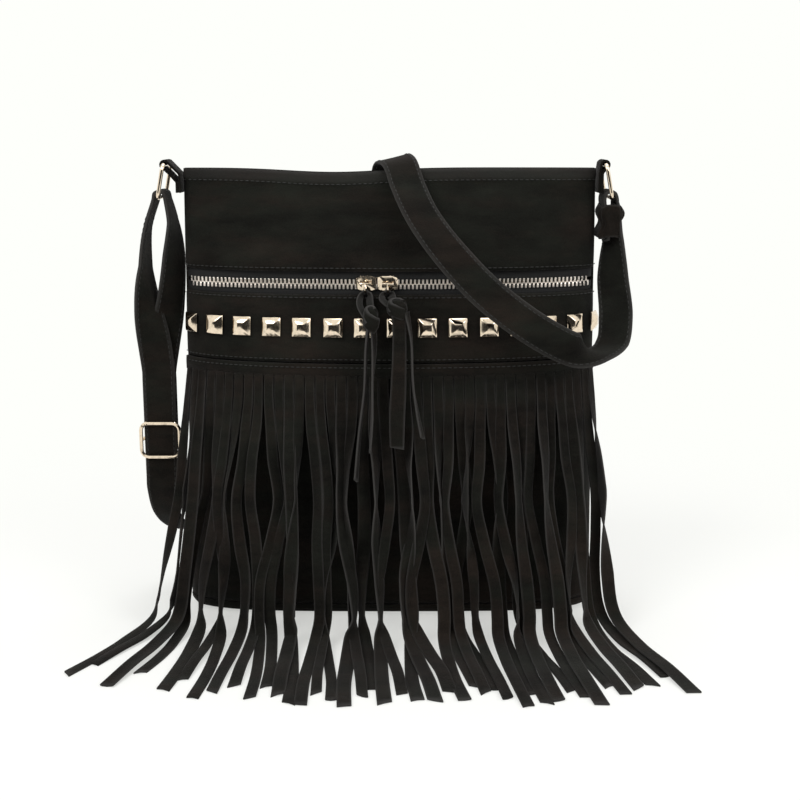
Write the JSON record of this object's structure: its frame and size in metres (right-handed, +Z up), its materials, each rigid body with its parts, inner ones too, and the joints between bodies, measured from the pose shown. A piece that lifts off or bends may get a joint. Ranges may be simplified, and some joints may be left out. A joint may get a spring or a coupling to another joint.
{
  "type": "fringed suede shoulder bag",
  "caption": "Black suede shoulder bag with a zipped top, a front zip pocket with tassel pulls, a row of pyramid studs, long fringe and an adjustable strap.",
  "frame": {"origin": "middle of the flat base", "axes": "+Z up, front with the fringe towards -Y, +X to the right of someone who looks at the front"},
  "size_m": [0.3777, 0.2427, 0.3032],
  "materials": {
    "suede": "black suede with a short nap and paler cut edges",
    "lining": "plain black woven lining",
    "zip_tape": "black woven zip tape",
    "metal_zip": "bright pale metal teeth on a black tape",
    "pale_gold": "polished pale gold plate"
  },
  "bodies": {
    "bag_body": {"back_panel": "suede", "front_upper_panel": "suede", "front_band": "suede", "front_lower_panel": "suede", "base_panel": "suede", "main_lining": "lining", "pocket_lining": "lining", "front_zip_upper_tape": "metal_zip", "front_zip_lower_tape": "metal_zip", "stud_01": "pale_gold", "stud_02": "pale_gold", "stud_03": "pale_gold", "stud_04": "pale_gold", "stud_05": "pale_gold", "stud_06": "pale_gold", "stud_07": "pale_gold", "stud_08": "pale_gold", "stud_09": "pale_gold", "stud_10": "pale_gold", "stud_11": "pale_gold", "stud_12": "pale_gold", "stud_13": "pale_gold", "stud_14": "pale_gold", "stud_15": "pale_gold", "fringe": "suede", "ring_tab_left": "suede", "ring_tab_right": "suede", "shoulder_strap": "suede", "top_zip_front_tape": "zip_tape", "top_zip_back_tape": "zip_tape"},
    "left_slider": {"front_zip_slider_left": "pale_gold"},
    "left_pull": {"front_zip_pull_left": "pale_gold", "tassel_left": "suede"},
    "right_slider": {"front_zip_slider_right": "pale_gold"},
    "right_pull": {"front_zip_pull_right": "pale_gold", "tassel_right": "suede"},
    "left_ring": {"strap_ring_left": "pale_gold"},
    "right_ring": {"strap_ring_right": "pale_gold"},
    "slide": {"strap_slide": "pale_gold"},
    "top_slider": {"top_zip_slider": "pale_gold"},
    "top_pull": {"top_zip_pull": "pale_gold"}
  },
  "joints": [
    {"name": "left_slider_run", "type": "hinge", "parent": "bag_body", "child": "left_slider", "pos_m": [0, 0.45866, 0.225], "axis": [0, 0, 1], "range_deg": [-8.5, 0]},
    {"name": "left_pull_swing", "type": "hinge", "parent": "left_slider", "child": "left_pull", "pos_m": [-0.015, -0.03821, 0.225], "axis": [1, 0, 0], "range_deg": [-80, 0]},
    {"name": "right_slider_run", "type": "hinge", "parent": "bag_body", "child": "right_slider", "pos_m": [0, 0.45866, 0.225], "axis": [0, 0, 1], "range_deg": [0, 10]},
    {"name": "right_pull_swing", "type": "hinge", "parent": "right_slider", "child": "right_pull", "pos_m": [-0.001, -0.03844, 0.225], "axis": [1, 0, 0], "range_deg": [-80, 0]},
    {"name": "left_ring_swing", "type": "hinge", "parent": "bag_body", "child": "left_ring", "pos_m": [-0.146, 0, 0.299], "axis": [0, 1, 0], "range_deg": [-3, 3]},
    {"name": "right_ring_swing", "type": "hinge", "parent": "bag_body", "child": "right_ring", "pos_m": [0.14, 0, 0.299], "axis": [0, 1, 0], "range_deg": [-3, 3]},
    {"name": "slide_travel", "type": "slide", "parent": "bag_body", "child": "slide", "axis": [0, 0, 1], "range_m": [-0.006, 0.025]},
    {"name": "top_slider_run", "type": "slide", "parent": "bag_body", "child": "top_slider", "axis": [1, 0, 0], "range_m": [-0.195, 0]},
    {"name": "top_pull_lift", "type": "hinge", "parent": "top_slider", "child": "top_pull", "pos_m": [0.101, 0, 0.2917], "axis": [0, 1, 0], "range_deg": [0, 95]}
  ]
}
